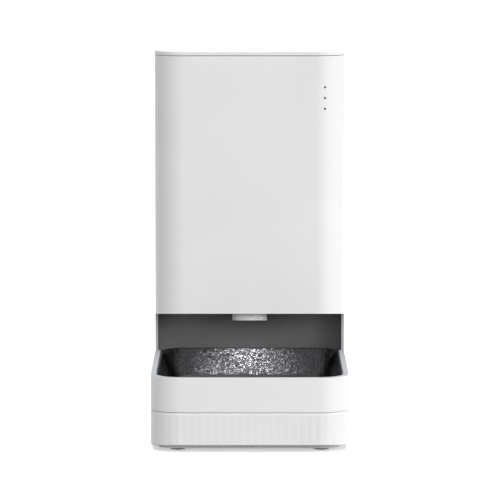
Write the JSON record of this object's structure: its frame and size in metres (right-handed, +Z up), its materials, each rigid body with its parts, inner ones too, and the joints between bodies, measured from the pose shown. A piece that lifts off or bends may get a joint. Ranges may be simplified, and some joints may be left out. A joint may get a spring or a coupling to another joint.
{
  "type": "automatic pet feeder",
  "caption": "Automatic pet feeder with a lidded dry-food tower, a turning portion rotor, a food spout in a niche, and a lift-out steel bowl in a front tray.",
  "frame": {"origin": "middle of the footprint at the underside of the feet", "axes": "+Z up, front (bowl side) towards -Y, +X to the right seen from the front"},
  "size_m": [0.17, 0.313, 0.335],
  "materials": {
    "white_plastic": "fine satin moulding",
    "base_plastic": "fine satin moulding with upright flutes",
    "lid_plastic": "fine satin moulding",
    "dark_plastic": "fine matt texture",
    "plate_plastic": "fine matt texture",
    "inner_plastic": "satin",
    "spout_plastic": "satin",
    "bucket_plastic": "smooth, slightly milky",
    "gear_plastic": "acetal",
    "bowl_steel": "dark bead-blasted steel",
    "screw_steel": "zinc plated",
    "motor_steel": "drawn steel can",
    "brass": "machined",
    "rubber": "matt",
    "silicone": "soft silicone",
    "black_parts": "black moulding",
    "board": "solder mask",
    "led": "clear cap",
    "pipe": "smoked light pipe",
    "sachet": "non-woven sachet",
    "lead_red": "wire sleeve"
  },
  "bodies": {
    "housing": {"outer_shell": "white_plastic", "base_tub": "base_plastic", "base_plate": "plate_plastic", "rubber_feet": "rubber", "base_screws": "screw_steel", "shell_screws": "screw_steel", "niche_liner": "dark_plastic", "bowl_cradle": "dark_plastic", "food_spout": "spout_plastic", "chute_sensors": "black_parts", "rotor_chamber": "inner_plastic", "chamber_screws": "screw_steel", "portion_shield": "inner_plastic", "wiper_strip": "rubber", "deck": "inner_plastic", "deck_screws": "screw_steel", "grain_bucket": "bucket_plastic", "gear_pin": "screw_steel", "motor": "motor_steel", "gearbox_case": "inner_plastic", "gearbox_cover": "inner_plastic", "gearbox_screws": "screw_steel", "main_board": "board", "board_parts": "black_parts", "board_screws": "screw_steel", "power_jack": "black_parts", "feed_switch": "black_parts", "led_board": "board", "leds": "led", "light_pipes": "pipe", "motor_lead": "lead_red", "sensor_lead": "black_parts", "lock_guide": "inner_plastic"},
    "lid": {"lid_top": "lid_plastic", "lid_liner": "white_plastic", "lid_seal": "silicone", "lid_screws": "screw_steel", "desiccant_cup": "white_plastic", "desiccant_pack": "sachet"},
    "desiccant_cap": {"desiccant_cap": "white_plastic"},
    "lid_lock": {"lid_lock": "inner_plastic"},
    "rotor": {"rotor_shaft": "screw_steel", "rotor_hub": "inner_plastic", "rotor_vanes": "silicone", "agitator": "inner_plastic", "output_gear": "gear_plastic"},
    "compound_gear": {"compound_gear": "gear_plastic"},
    "motor_pinion": {"motor_pinion": "brass"},
    "bowl": {"food_bowl": "bowl_steel"},
    "feed_button": {"feed_button": "inner_plastic"}
  },
  "joints": [
    {"name": "lid_lift", "type": "slide", "parent": "housing", "child": "lid", "axis": [0, 0, 1], "range_m": [0, 0.12]},
    {"name": "desiccant_twist", "type": "hinge", "parent": "lid", "child": "desiccant_cap", "pos_m": [0, 0.076, 0.3], "axis": [0, 0, 1], "range_deg": [0, 35]},
    {"name": "lid_lock_slide", "type": "slide", "parent": "housing", "child": "lid_lock", "axis": [1, 0, 0], "range_m": [0, 0.006]},
    {"name": "rotor_spin", "type": "hinge", "parent": "housing", "child": "rotor", "pos_m": [0, 0.055, 0.13], "axis": [0, 0, 1], "continuous": true},
    {"name": "compound_spin", "type": "hinge", "parent": "housing", "child": "compound_gear", "pos_m": [0, 0.08, 0.1], "axis": [0, 0, 1], "continuous": true},
    {"name": "pinion_spin", "type": "hinge", "parent": "housing", "child": "motor_pinion", "pos_m": [0, 0.105, 0.1], "axis": [0, 0, 1], "continuous": true},
    {"name": "bowl_lift", "type": "slide", "parent": "housing", "child": "bowl", "axis": [0, 0, 1], "range_m": [0, 0.033]},
    {"name": "feed_button_press", "type": "slide", "parent": "housing", "child": "feed_button", "axis": [0, -1, 0], "range_m": [0, 0.0012], "stiffness_N_per_m": 400}
  ],
  "couplings": [
    {"joint": "compound_spin", "follows": "rotor_spin", "ratio": -2.5714},
    {"joint": "pinion_spin", "follows": "rotor_spin", "ratio": 6.6122}
  ]
}
